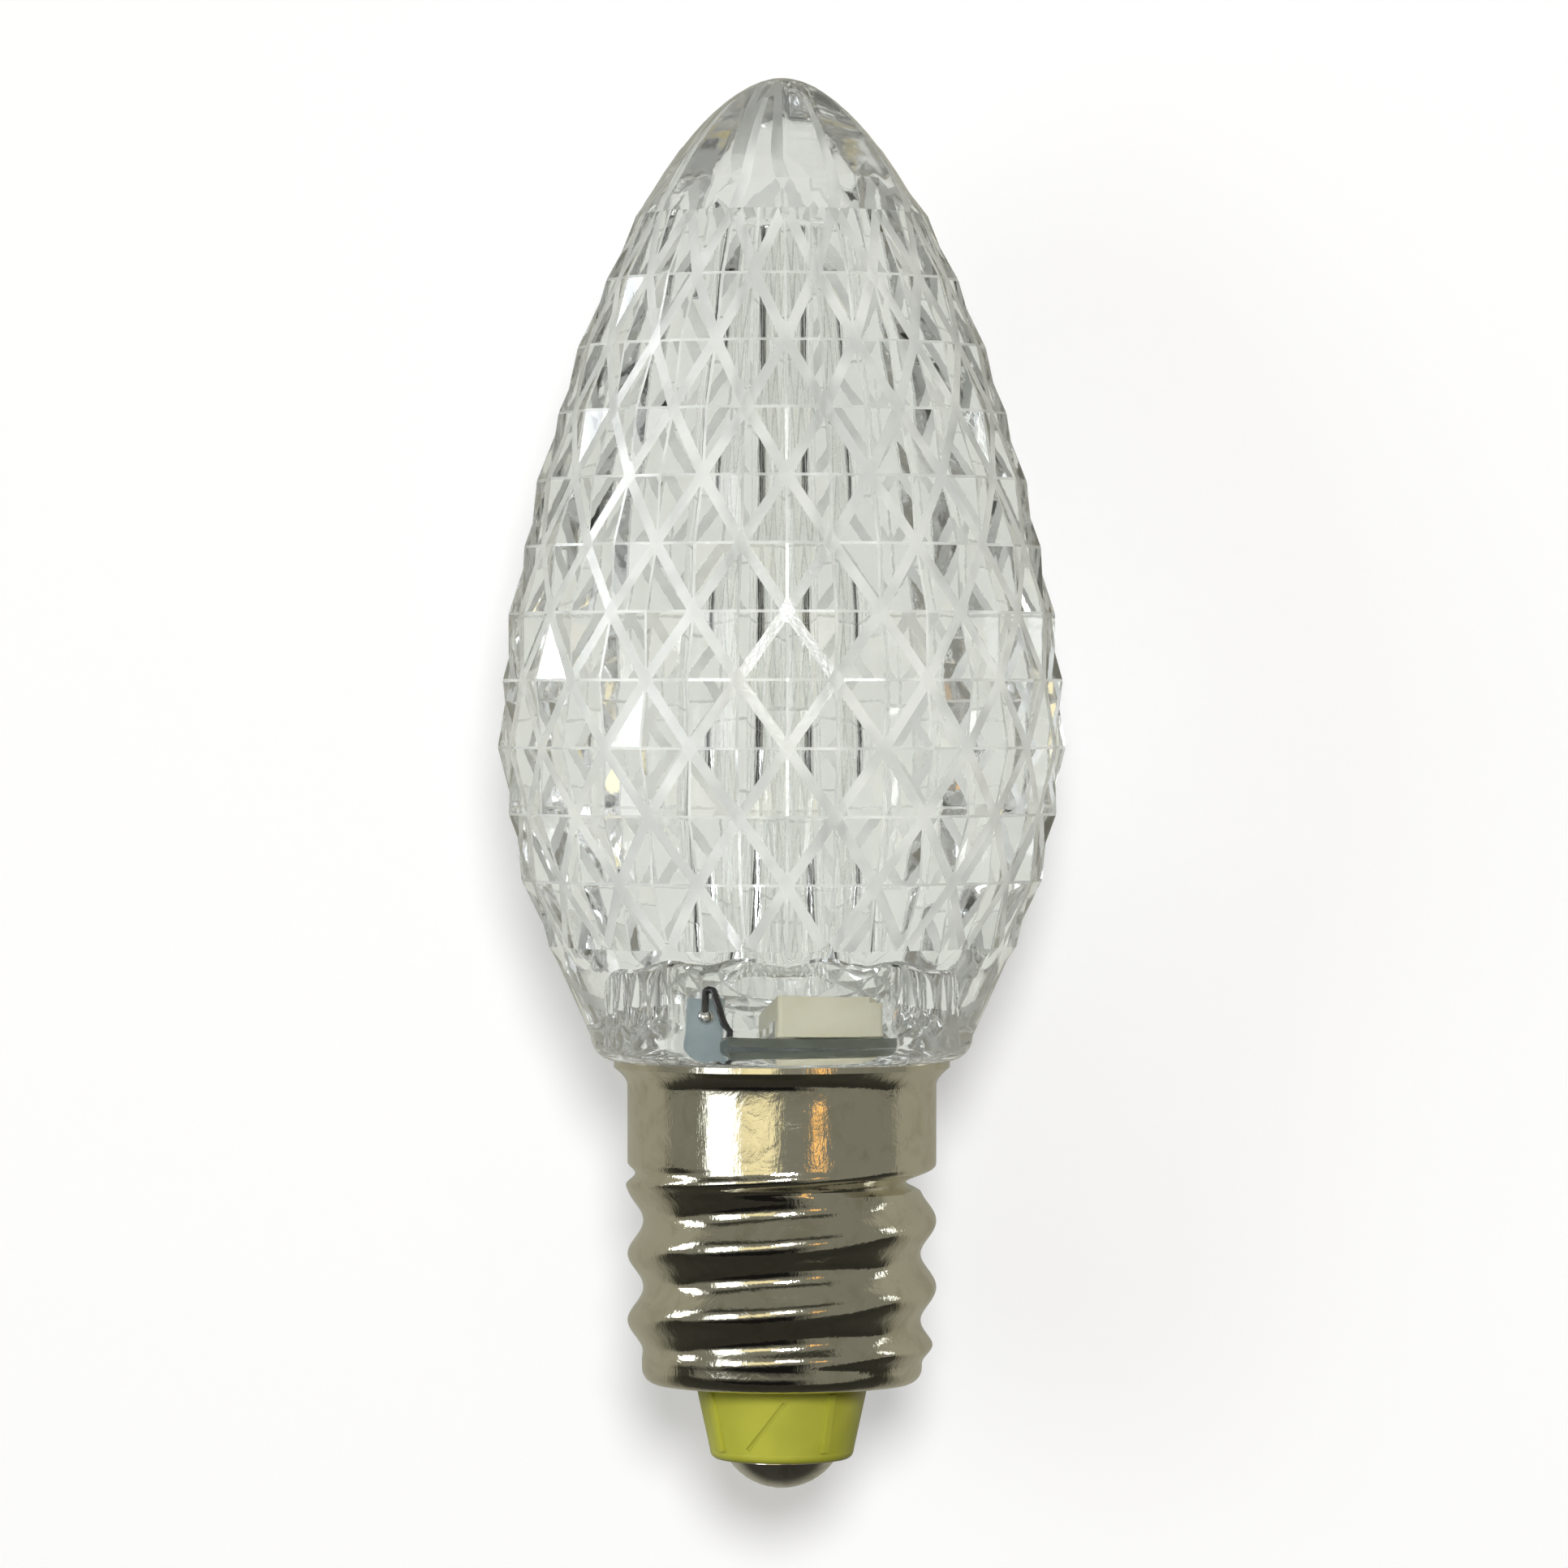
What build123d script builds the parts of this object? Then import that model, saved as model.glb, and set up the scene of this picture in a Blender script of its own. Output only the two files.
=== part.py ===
from build123d import *
import math
import os

# Faceted LED bulb on a 12 mm screw base. Millimetres, +Z from the centre contact to the tip.
# The origin is the lowest point of the centre contact, on the bulb's axis. The front is -Y.

# lens outline
tip_height = 53.85
belly_height = 29.6
belly_radius = 10.9
shoulder_taper = 1.4
tip_fullness = 0.54
lower_curve_radius = 22.0
neck_radius = 7.3
lens_foot = 16.35
shoulder_round = 0.95

# diamond facets: raised pyramids in staggered rings, parted by narrow flat lands
diamonds_round = 18
ring_pitch = 2.54
first_ring = 20.69
ring_count = 12
facet_depth = 0.37
land_width = 0.42
facet_phase = -88.9

# smooth tip: drops of its levels below the top, and broad panes round it
tip_drops = (4.1, 3.1, 2.2, 1.4, 0.8, 0.35, 0.08)
tip_panes = 9
pane_share = 0.6

# inside of the lens
spigot_radius = 5.5
spigot_foot = 13.2
chamber_radius = 4.6
chamber_ceiling = 21.0
chamber_fillet = 0.35
bore_radius_low = 1.95
bore_radius_high = 1.3
bore_top = 47.6
bore_edge = 0.25

# rolled screw shell
shell_wall = 0.25
rim_radius = 6.42
rim_top = 16.35
rim_edge = 16.1
skirt_top = 15.4
skirt_foot = 12.45
skirt_radius = 5.9
thread_mean_radius = 5.6
thread_wave = 0.3
thread_pitch = 2.54
crest_at_right = 7.69
notch_height = 11.8
notch_mean_radius = 5.3
notch_wave = 0.72
thread_top = 11.3
thread_foot = 4.75
thread_fade = 0.9
foot_radius = 5.35
foot_round = 0.6
shell_foot = 4.0
foot_hole_radius = 3.05
sections_a_turn = 12

# insulator plug
plug_top_radius = 3.3
plug_low_radius = 2.75
plug_foot = 1.12
plug_round = 0.35
waist_radius = 3.0
flange_radius = 4.7
flange_top = 5.2
stem_hole_radius = 0.62
rib_angles = (-55, -145, 125, 35)
rib_width = 0.3
rib_proud = 0.12
rib_height = 2.3
rib_depth = 0.8
slant_angle = 37
slant_width = 0.16
slant_depth = 0.14
slant_x = -0.6

# centre contact
contact_radius = 2.02
contact_edge = 0.06
stem_radius = 0.55
stem_top = 5.7

# boards
led_board_low = 17.55
led_board_thick = 0.5
led_board_margin = 0.05
led_board_reach = (3.75, 2.45)
board_half = 0.4
board_left = -3.8
board_right = 2.8
tongue_right = -2.3
tongue_top = 20.4
stem_notch_half = 0.95
stem_notch_top = 6.3

# holder ring
holder_outer = 4.5
holder_inner = 3.9
holder_foot = 12.8
holder_top = 16.2
holder_flange_radius = 5.45
holder_flange_thick = 0.4

# surface-mount LED
led_side = 4.0
led_tall = 1.9
led_x = 1.4
led_turn = 12
led_lift = 0.15
led_corner = 0.18
cup_top_radius = 1.65
cup_low_radius = 1.25
cup_depth = 0.75
polarity_side = 0.8
polarity_depth = 0.25
die_side = 0.45
die_tall = 0.15
die_angles = (90, 210, 330)
die_reach = 0.62
lead_width = 0.6
lead_thick = 0.12
lead_spacing = 1.35
lead_rise = 0.9
lead_tuck = 0.7
fillet_reach = 0.3
fillet_rise = 0.5

# parts on the upright board: width, depth from the board, height
rectifier_size = (3.9, 2.2, 4.5)
rectifier_z = 9.6
rectifier_lift = 0.15
rectifier_lead_x = (-1.27, 1.27)
chip_size = (3.8, 1.4, 4.8)
chip_z = 9.6
chip_lift = 0.12
chip_lead_x = (-1.425, -0.475, 0.475, 1.425)
resistor_size = (2.6, 0.5, 0.9)
resistor_end = 0.4
resistor_places = ((-1.2, 13.8), (-1.2, 15.0))
capacitor_size = (3.2, 1.5, 2.2)
capacitor_end = 0.5
capacitor_place = (0.2, 14.1)
package_chamfer = 0.2
lead_metal = 0.16
lead_fall = 0.2
toe_thick = 0.14
toe_end = 0.9
rectifier_lead_width = 0.6
chip_lead_width = 0.4

# wires and solder spots
jumper_radius = 0.14
jumper_foot = (-1.95, -1.0)
jumper_head_x = -2.95
jumper_head_z = 19.6
jumper_spot_radius = 0.34
wire_hole_gap = 0.05
tongue_fillet_rise = 0.4
tongue_fillet_half = 0.35
sleeve_radius = 0.42
core_radius = 0.18
live_spot = (2.35, 13.3)
shell_spot = (2.38, 8.3)
live_sleeve_span = (0.16, 0.84)
shell_sleeve_span = (0.16, 0.76)
wire_bend = 0.5
jumper_bend = 0.15
wire_gap = 0.04
spot_radius = 0.42
stem_spot_radius = 0.62
shell_spot_radius = 0.36

board_face = led_board_low + led_board_thick
led_bottom = board_face + led_lift


def lens_radius(height):
    """Radius of the lens over the tips of its pyramids."""
    if height > belly_height:
        share = (height - belly_height) / (tip_height - belly_height)
        return belly_radius * (1 - share ** shoulder_taper) ** tip_fullness
    drop = belly_height - height
    return belly_radius - lower_curve_radius + math.sqrt(lower_curve_radius ** 2 - drop ** 2)


def round_point(radius, angle, height):
    return Vector(radius * math.cos(angle), radius * math.sin(angle), height)


def lattice_ring(level):
    """One level of the lattice: tips and corners of the diamonds in turn round the lens."""
    height = first_ring + level * ring_pitch
    radius = lens_radius(height)
    depth = facet_depth * radius / belly_radius
    points = []
    for column in range(2 * diamonds_round):
        reach = radius if (column + level) % 2 == 0 else radius - depth
        angle = math.radians(facet_phase + column * 180 / diamonds_round)
        points.append(round_point(reach, angle, height))
    return points


def land_share(level):
    """Share of each ridge of a diamond that gives way to the land at its end."""
    across = lens_radius(first_ring + level * ring_pitch) * math.sin(math.pi / diamonds_round)
    reach = across * ring_pitch / math.hypot(across, ring_pitch)
    return land_width / 2 / reach


def ridge_ends(rings, level, column):
    """Tip of one diamond and where its ridges to the right, up, left and down end."""
    tip = rings[level][column]
    keep = 1 - land_share(level)
    corners = {"right": rings[level][(column + 1) % (2 * diamonds_round)], "left": rings[level][column - 1]}
    if level + 1 < ring_count:
        corners["up"] = rings[level + 1][column]
    if level > 0:
        corners["down"] = rings[level - 1][column]
    ends = {way: tip + (corner - tip) * keep for way, corner in corners.items()}
    ends["tip"] = tip
    return ends


def flat_face(corners):
    return Face(Wire.make_polygon(corners, close=True))


def pyramid(ends):
    """The four facets of one diamond, or two at the edge of the lattice."""
    ways = ("right", "up", "left", "down", "right")
    pairs = [pair for pair in zip(ways, ways[1:]) if pair[0] in ends and pair[1] in ends]
    return [flat_face([ends["tip"], ends[one], ends[two]]) for one, two in pairs]


def lands(diamonds, level, column):
    """Flat lands from one diamond to the next two above it."""
    columns = 2 * diamonds_round
    here = diamonds[level, column]
    right = diamonds[level + 1, (column + 1) % columns]
    left = diamonds[level + 1, (column - 1) % columns]
    return [
        flat_face([here["right"], right["down"], right["left"]]),
        flat_face([here["right"], right["left"], here["up"]]),
        flat_face([here["left"], here["up"], left["right"]]),
        flat_face([here["left"], left["right"], left["down"]]),
    ]


def crossing(diamonds, level, column):
    """Where four lands meet, between two diamonds of one level."""
    columns = 2 * diamonds_round
    west = diamonds[level, (column - 1) % columns]["right"]
    east = diamonds[level, (column + 1) % columns]["left"]
    faces = []
    if level > 0:
        faces.append(flat_face([west, diamonds[level - 1, column]["up"], east]))
    if level + 1 < ring_count:
        faces.append(flat_face([west, east, diamonds[level + 1, column]["down"]]))
    return faces


def edge_ring(diamonds, level):
    """Points along the lowest or highest level of the lattice."""
    columns = 2 * diamonds_round
    points = []
    for column in range(columns):
        if (column + level) % 2 == 0:
            points.append(diamonds[level, column]["tip"])
        else:
            points.append(diamonds[level, (column - 1) % columns]["right"])
            points.append(diamonds[level, (column + 1) % columns]["left"])
    return points


def lattice():
    """Faces of all diamonds and lands, with the lowest and the highest ring of points."""
    rings = [lattice_ring(level) for level in range(ring_count)]
    spots = [(level, column) for level in range(ring_count) for column in range(2 * diamonds_round)]
    tips = [spot for spot in spots if sum(spot) % 2 == 0]
    diamonds = {spot: ridge_ends(rings, *spot) for spot in tips}
    faces = []
    for spot in tips:
        faces += pyramid(diamonds[spot])
        if spot[0] + 1 < ring_count:
            faces += lands(diamonds, *spot)
    for spot in spots:
        if sum(spot) % 2:
            faces += crossing(diamonds, *spot)
    return faces, edge_ring(diamonds, 0), edge_ring(diamonds, ring_count - 1)


def strip(low, high):
    """Band of narrow triangles between two rings with as many points."""
    faces = []
    for here in range(len(low)):
        after = (here + 1) % len(low)
        faces.append(flat_face([low[here], low[after], high[after]]))
        faces.append(flat_face([low[here], high[after], high[here]]))
    return faces


def plain_ring(edge, radius, height):
    return [round_point(radius, math.atan2(point.Y, point.X), height) for point in edge]


def pane_ring(edge, height):
    """Ring of the smooth tip, drawn in towards flat panes."""
    half = math.pi / tip_panes
    middle = math.radians(facet_phase)
    points = []
    for point in edge:
        angle = math.atan2(point.Y, point.X)
        across = (angle - middle + half) % (2 * half) - half
        flat = math.cos(half) / math.cos(across)
        radius = lens_radius(height) * (1 - pane_share * (1 - flat))
        points.append(round_point(radius, angle, height))
    return points


def faceted_body():
    """Closed body: neck, lattice of diamonds and smooth tip."""
    faces, foot_edge, tip_edge = lattice()
    rings = [
        plain_ring(foot_edge, neck_radius, lens_foot),
        plain_ring(foot_edge, neck_radius, lens_foot + shoulder_round),
        foot_edge,
    ]
    for low, high in zip(rings, rings[1:]):
        faces += strip(low, high)
    last = tip_edge
    for drop in tip_drops:
        ring = pane_ring(tip_edge, tip_height - drop)
        faces += strip(last, ring)
        last = ring
    top = Vector(0, 0, tip_height)
    faces += [flat_face([last[here - 1], last[here], top]) for here in range(len(last))]
    faces.append(flat_face(rings[0][::-1]))
    return Solid(Shell(faces))


def turned(outline):
    """Solid of revolution from a closed outline drawn in radius and height."""
    return revolve(Plane.XZ * make_face(outline), Axis.Z)


def lens_envelope():
    """Rounded shoulder at the foot of the neck."""
    low_radius = neck_radius - shoulder_round
    outline = [
        Line((0, lens_foot), (low_radius, lens_foot)),
        RadiusArc((low_radius, lens_foot), (neck_radius, lens_foot + shoulder_round), -shoulder_round),
        Line((neck_radius, lens_foot + shoulder_round), (2 * belly_radius, lens_foot + 2 * belly_radius)),
        Line((2 * belly_radius, lens_foot + 2 * belly_radius), (2 * belly_radius, tip_height + 1)),
        Line((2 * belly_radius, tip_height + 1), (0, tip_height + 1)),
        Line((0, tip_height + 1), (0, lens_foot)),
    ]
    return turned(outline)


def lens_hollow():
    """Core of the moulding: LED chamber, then a narrow bore with draft and a flat end."""
    bend = chamber_fillet
    bore_shoulder = bore_top - bore_edge
    bore_flat = bore_radius_high - bore_edge
    outline = [
        Line((0, spigot_foot - 1), (chamber_radius, spigot_foot - 1)),
        Line((chamber_radius, spigot_foot - 1), (chamber_radius, chamber_ceiling - bend)),
        RadiusArc((chamber_radius, chamber_ceiling - bend), (chamber_radius - bend, chamber_ceiling), -bend),
        Line((chamber_radius - bend, chamber_ceiling), (bore_radius_low, chamber_ceiling)),
        Line((bore_radius_low, chamber_ceiling), (bore_radius_high, bore_shoulder)),
        RadiusArc((bore_radius_high, bore_shoulder), (bore_flat, bore_top), -bore_edge),
        Line((bore_flat, bore_top), (0, bore_top)),
        Line((0, bore_top), (0, spigot_foot - 1)),
    ]
    return turned(outline)


def rod(radius, low, high, x=0.0, y=0.0):
    return Pos(x, y, (low + high) / 2) * Cylinder(radius, high - low)


def block(one, other):
    """Box between two opposite corners."""
    size = [abs(b - a) for a, b in zip(one, other)]
    middle = [(a + b) / 2 for a, b in zip(one, other)]
    return Pos(*middle) * Box(*size)


def lens_cover():
    body = faceted_body() & lens_envelope()
    spigot = rod(spigot_radius, spigot_foot, lens_foot + 0.5)
    return body + spigot - lens_hollow()


def thread_section(height, inset):
    """Cut through the thread at one height: a circle pushed off the axis towards the crest."""
    fade = min(1.0, (height - thread_foot) / thread_fade)
    wave = thread_wave * fade
    radius = foot_radius + (thread_mean_radius - foot_radius) * fade
    if height > skirt_foot - 0.01:
        wave = 0.0
        radius = skirt_radius
    elif height > thread_top:
        reach = (height - thread_top) / (notch_height - thread_top)
        if height > notch_height:
            reach = (skirt_foot - height) / (skirt_foot - notch_height)
        reach = math.sin(reach * math.pi / 2) ** 2
        high_side = height > notch_height
        edge_wave = 0.0 if high_side else thread_wave
        edge_radius = skirt_radius if high_side else thread_mean_radius
        wave = edge_wave + (notch_wave - edge_wave) * reach
        radius = edge_radius + (notch_mean_radius - edge_radius) * reach
    turn = 2 * math.pi * (height - crest_at_right) / thread_pitch
    centre = Pos(wave * math.cos(turn), wave * math.sin(turn), height)
    return centre * Circle(radius - inset)


def thread_core(inset):
    """Rolled thread as one loft of off-axis circles that climb the right-hand helix."""
    step = thread_pitch / sections_a_turn
    heights = [thread_foot + step * n for n in range(int((thread_top - thread_foot) / step) + 1)]
    rise = notch_height - thread_top
    heights += [thread_top + rise / 2, notch_height]
    heights += [notch_height + (skirt_foot - notch_height) * share for share in (0.35, 0.7, 1.0)]
    return loft([thread_section(height, inset) for height in heights])


def rim_core(inset):
    """Plain skirt and flared rim, drawn to the wall's outer face less the inset."""
    flare = rim_edge - skirt_top
    skirt = skirt_radius - inset
    rim = rim_radius - inset
    mouth = rim_top + (1.0 if inset else 0.0)
    outline = [
        Line((0, skirt_foot), (skirt, skirt_foot)),
        Line((skirt, skirt_foot), (skirt, skirt_top)),
        Spline((skirt, skirt_top), (rim, skirt_top + flare), tangents=((0, 1), (1, 0.45))),
        Line((rim, skirt_top + flare), (rim, mouth)),
        Line((rim, mouth), (0, mouth)),
        Line((0, mouth), (0, skirt_foot)),
    ]
    return turned(outline)


def foot_core(inset):
    """Foot of the shell, curled in under the thread."""
    outer = foot_radius - inset
    bend = foot_round - inset
    low = shell_foot + inset
    outline = [
        Line((0, low), (outer - bend, low)),
        RadiusArc((outer - bend, low), (outer, low + bend), -bend),
        Line((outer, low + bend), (outer, thread_foot)),
        Line((outer, thread_foot), (0, thread_foot)),
        Line((0, thread_foot), (0, low)),
    ]
    return turned(outline)


def shell_core(inset):
    return thread_core(inset) + rim_core(inset) + foot_core(inset)


def screw_shell(inside):
    hole = rod(foot_hole_radius, shell_foot - 1, shell_foot + 2)
    return shell_core(0.0) - inside - hole


def plug_cone(inset):
    """Tapered outer part of the insulator with its rounded foot."""
    low_radius = plug_low_radius - inset
    bend_top = plug_foot + plug_round
    outline = [
        Line((0, plug_foot), (low_radius - plug_round, plug_foot)),
        RadiusArc((low_radius - plug_round, plug_foot), (low_radius, bend_top), -plug_round),
        Line((low_radius, bend_top), (plug_top_radius - inset, shell_foot)),
        Line((plug_top_radius - inset, shell_foot), (0, shell_foot)),
        Line((0, shell_foot), (0, plug_foot)),
    ]
    return turned(outline)


def plug_rib(angle):
    """Upright rib that stands a little proud of the taper."""
    taper_foot = plug_foot + plug_round
    middle = (taper_foot + shell_foot) / 2
    widening = plug_top_radius - plug_low_radius
    lean = math.degrees(math.atan(widening / (shell_foot - taper_foot)))
    reach = plug_low_radius + widening / 2 + rib_proud - rib_depth / 2
    rib = Pos(reach, 0, middle) * Rot(0, lean, 0) * Box(rib_depth, rib_width, rib_height)
    return Rot(0, 0, angle) * rib


def slant_groove():
    """Shallow slanted groove across the front of the taper."""
    skin = plug_cone(0.0) - plug_cone(slant_depth)
    middle = (plug_foot + shell_foot) / 2
    slab = Pos(slant_x, -plug_top_radius, middle) * Rot(0, slant_angle, 0)
    return skin & slab * Box(slant_width, 2, rib_height)


def insulator():
    """Plug under the shell, a waist through its foot and a flange inside."""
    seat = shell_foot + shell_wall
    plug = plug_cone(0.0)
    for angle in rib_angles:
        plug += plug_rib(angle)
    plug -= slant_groove()
    plug += rod(waist_radius, shell_foot - 0.5, seat + 0.3)
    plug += rod(flange_radius, seat, flange_top)
    return plug - rod(stem_hole_radius, 0, flange_top + 1)


def centre_contact():
    """Domed head with a stem riveted up through the insulator."""
    dome_top = plug_foot - contact_edge
    dome_radius = (contact_radius ** 2 + dome_top ** 2) / (2 * dome_top)
    outline = [
        RadiusArc((0, 0), (contact_radius, dome_top), -dome_radius),
        Line((contact_radius, dome_top), (contact_radius, plug_foot)),
        Line((contact_radius, plug_foot), (stem_radius, plug_foot)),
        Line((stem_radius, plug_foot), (stem_radius, stem_top)),
        Line((stem_radius, stem_top), (0, stem_top)),
        Line((0, stem_top), (0, 0)),
    ]
    return turned(outline)


def led_place(shape):
    """Moves a piece drawn about the LED's own centre to where the LED sits."""
    return Pos(led_x, 0, led_bottom) * Rot(0, 0, led_turn) * shape


def led_cup():
    return Pos(0, 0, led_tall - cup_depth / 2) * Cone(cup_low_radius, cup_top_radius, cup_depth)


def led_housing():
    body = Pos(0, 0, led_tall / 2) * Box(led_side, led_side, led_tall)
    body = fillet(body.edges().filter_by(Axis.Z), led_corner)
    corner = Pos(led_side / 2, -led_side / 2, led_tall) * Rot(0, 0, 45)
    polarity_mark = corner * Box(polarity_side, polarity_side, 2 * polarity_depth)
    return led_place(body - led_cup() - polarity_mark)


def die(angle):
    floor = led_tall - cup_depth
    return Rot(0, 0, angle) * Pos(die_reach, 0, floor + die_tall / 2) * Box(die_side, die_side, die_tall)


def led_dies():
    return [led_place(die(angle)) for angle in die_angles]


def led_phosphor():
    gel = led_cup()
    for angle in die_angles:
        gel -= die(angle)
    return led_place(gel)


def led_lead(side, row):
    """Lead down one side of the LED and a short way in under it."""
    wall = side * led_side / 2
    across = row * lead_spacing
    half = lead_width / 2
    upright = block((wall, across - half, -led_lift), (wall + side * lead_thick, across + half, lead_rise))
    foot = block((wall, across - half, -led_lift), (wall - side * lead_tuck, across + half, 0))
    return led_place(upright + foot)


def led_terminals():
    return [led_lead(side, row) for side in (-1, 1) for row in (-1, 0, 1)]


def solder_fillet(side, row):
    """Solder that climbs the outside of one lead."""
    start = side * (led_side / 2 + lead_thick)
    wedge = Polyline((start, 0), (start + side * fillet_reach, 0), (start, fillet_rise), close=True)
    prism = extrude(Plane.XZ * make_face(wedge), lead_width / 2, both=True)
    return led_place(Pos(0, row * lead_spacing, -led_lift) * prism)


def led_solder():
    return [solder_fillet(side, row) for side in (-1, 1) for row in (-1, 0, 1)]


def led_board():
    """Small plate under the LED, turned with it, that lies on the upright board's top edge."""
    left, right = led_board_reach
    half = led_side / 2 + led_board_margin
    plate = led_place(block((-left, -half, -led_lift - led_board_thick), (right, half, -led_lift)))
    wire_hole = rod(jumper_radius + wire_hole_gap, led_board_low - 1, board_face + 1, *jumper_foot)
    beside_tongue = block(
        (board_left - 1, -board_half, led_board_low - 1),
        (tongue_right, board_half, board_face + 1),
    )
    return plate - wire_hole - beside_tongue


def driver_board():
    """Upright board: straddles the contact's stem and carries a tongue up past the LED."""
    plate = block((board_left, -board_half, flange_top), (board_right, board_half, led_board_low))
    tongue = block((board_left, -board_half, led_board_low - 1), (tongue_right, board_half, tongue_top))
    notch = block((-stem_notch_half, -1, flange_top - 1), (stem_notch_half, 1, stem_notch_top))
    return plate + tongue - notch


def wire_path(points, bend):
    return FilletPolyline(*points, radius=bend)


def wire(path, section):
    return sweep(Plane(path @ 0, z_dir=path % 0) * section, path)


def jumper_path():
    """From the front of the tongue, over in a bow and down through the LED board."""
    front = -board_half - jumper_radius - wire_gap
    foot_x, foot_y = jumper_foot
    points = [
        (jumper_head_x, front, jumper_head_z),
        (jumper_head_x, front - 0.1, 20.7),
        (-2.6, -0.9, 20.6),
        (-2.2, foot_y, 19.2),
        (foot_x, foot_y, 18.8),
        (foot_x, foot_y, led_board_low),
    ]
    return wire_path(points, jumper_bend)


def jumper_wire():
    return wire(jumper_path(), Circle(jumper_radius))


def jumper_solder():
    foot_x, foot_y = jumper_foot
    upper = Pos(jumper_head_x, -board_half, jumper_head_z) * Sphere(jumper_spot_radius)
    upper -= block((-5, -board_half, jumper_head_z - 1), (0, 1, jumper_head_z + 1))
    lower = Pos(foot_x, foot_y, board_face) * Sphere(jumper_spot_radius)
    lower -= block((-5, -3, board_face - 1), (0, 3, board_face))
    return [spot - jumper_wire() for spot in (upper, lower)]


def tongue_solder():
    """Fillet between the tongue's edge and the top of the LED board."""
    foot = tongue_right + fillet_reach
    top = board_face + tongue_fillet_rise
    wedge = Polyline((tongue_right, board_face), (foot, board_face), (tongue_right, top), close=True)
    return extrude(Plane.XZ * make_face(wedge), tongue_fillet_half, both=True)


def board_holder():
    """Ring in the spigot that keeps the upright board in the middle."""
    tube = rod(holder_outer, holder_foot, holder_top)
    flange = rod(holder_flange_radius, holder_foot, holder_foot + holder_flange_thick)
    return tube + flange - rod(holder_inner, holder_foot - 1, holder_top + 1)


def package(size, side, lift, height):
    """Moulded package that stands off one face of the upright board."""
    wide, deep, tall = size
    near = side * (board_half + lift)
    body = block((-wide / 2, near, height - tall / 2), (wide / 2, near + side * deep, height + tall / 2))
    outer_face = body.faces().sort_by(Axis.Y)[0 if side < 0 else -1]
    return chamfer(outer_face.edges(), package_chamfer)


def gull_lead(size, side, lift, height, end, x, width):
    """Lead out of one end of a package, down to the board and away along it."""
    face = side * board_half
    middle = face + side * (lift + size[1] / 2)
    root = height + end * size[2] / 2
    inner = root + end * lead_fall
    outer = inner + end * lead_metal
    left = x - width / 2
    right = x + width / 2
    arm = block((left, middle - lead_metal / 2, root), (right, middle + lead_metal / 2, outer))
    leg = block((left, face, inner), (right, middle, outer))
    toe = block((left, face, inner), (right, face + side * toe_thick, root + end * toe_end))
    return arm + leg + toe


def bridge_rectifier():
    return package(rectifier_size, -1, rectifier_lift, rectifier_z)


def rectifier_leads():
    return [
        gull_lead(rectifier_size, -1, rectifier_lift, rectifier_z, end, x, rectifier_lead_width)
        for end in (-1, 1)
        for x in rectifier_lead_x
    ]


def driver_chip():
    return package(chip_size, 1, chip_lift, chip_z)


def chip_leads():
    return [
        gull_lead(chip_size, 1, chip_lift, chip_z, end, x, chip_lead_width)
        for end in (-1, 1)
        for x in chip_lead_x
    ]


def chip_body(size, cap, side, place):
    """Body between the metal ends of a chip part that lies across the board."""
    wide, deep, tall = size
    x, z = place
    half = wide / 2 - cap
    near = side * board_half
    return block((x - half, near, z - tall / 2), (x + half, near + side * deep, z + tall / 2))


def chip_ends(size, cap, side, place):
    wide, deep, tall = size
    x, z = place
    near = side * board_half
    ends = []
    for way in (-1, 1):
        outer = x + way * wide / 2
        ends.append(block((outer, near, z - tall / 2), (outer - way * cap, near + side * deep, z + tall / 2)))
    return ends


def sense_resistors():
    return [chip_body(resistor_size, resistor_end, 1, place) for place in resistor_places]


def resistor_ends():
    return [end for place in resistor_places for end in chip_ends(resistor_size, resistor_end, 1, place)]


def filter_capacitor():
    return chip_body(capacitor_size, capacitor_end, -1, capacitor_place)


def capacitor_ends():
    return chip_ends(capacitor_size, capacitor_end, -1, capacitor_place)


def live_path():
    """Up from the contact's stem and along the board to a spot near its top."""
    x, z = live_spot
    front = -board_half - core_radius - wire_gap
    points = [
        (0.0, -0.75, 5.9),
        (1.8, -1.3, 6.0),
        (2.6, -1.4, 7.4),
        (2.6, -1.3, 11.0),
        (x, front, 12.4),
        (x, front, z + 0.2),
    ]
    return wire_path(points, wire_bend)


def shell_path():
    """From the back of the board up and out to the inside of the skirt."""
    x, z = shell_spot
    back = board_half + core_radius + wire_gap
    points = [
        (x, back, z - 0.2),
        (x, back, z + 0.6),
        (x + 0.1, 1.25, 10.0),
        (x + 0.1, 1.4, 11.4),
        (2.15, 2.7, 12.1),
        (1.6, 5.0, 12.4),
    ]
    return wire_path(points, wire_bend)


def sleeve(path, span):
    """Plastic sleeve over the middle of a wire, with both ends left bare."""
    covered = path.trim(*span)
    return wire(covered, Circle(sleeve_radius) - Circle(core_radius))


def contact_solder():
    """Solder over the top of the stem and the bare end of the live wire."""
    drop = Pos(0, -0.25, stem_top - 0.05) * Sphere(stem_spot_radius)
    drop -= rod(stem_radius, 0, stem_top)
    drop -= block((-2, -2, flange_top - 2), (2, 2, flange_top))
    return drop - wire(live_path(), Circle(core_radius))


def shell_solder(inside):
    """Solder that joins the bare wire to the inside of the shell."""
    end = shell_path() @ 1
    drop = Pos(end.X * 1.04, end.Y * 1.04, end.Z) * Sphere(shell_spot_radius)
    return (drop & inside) - wire(shell_path(), Circle(core_radius))


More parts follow.
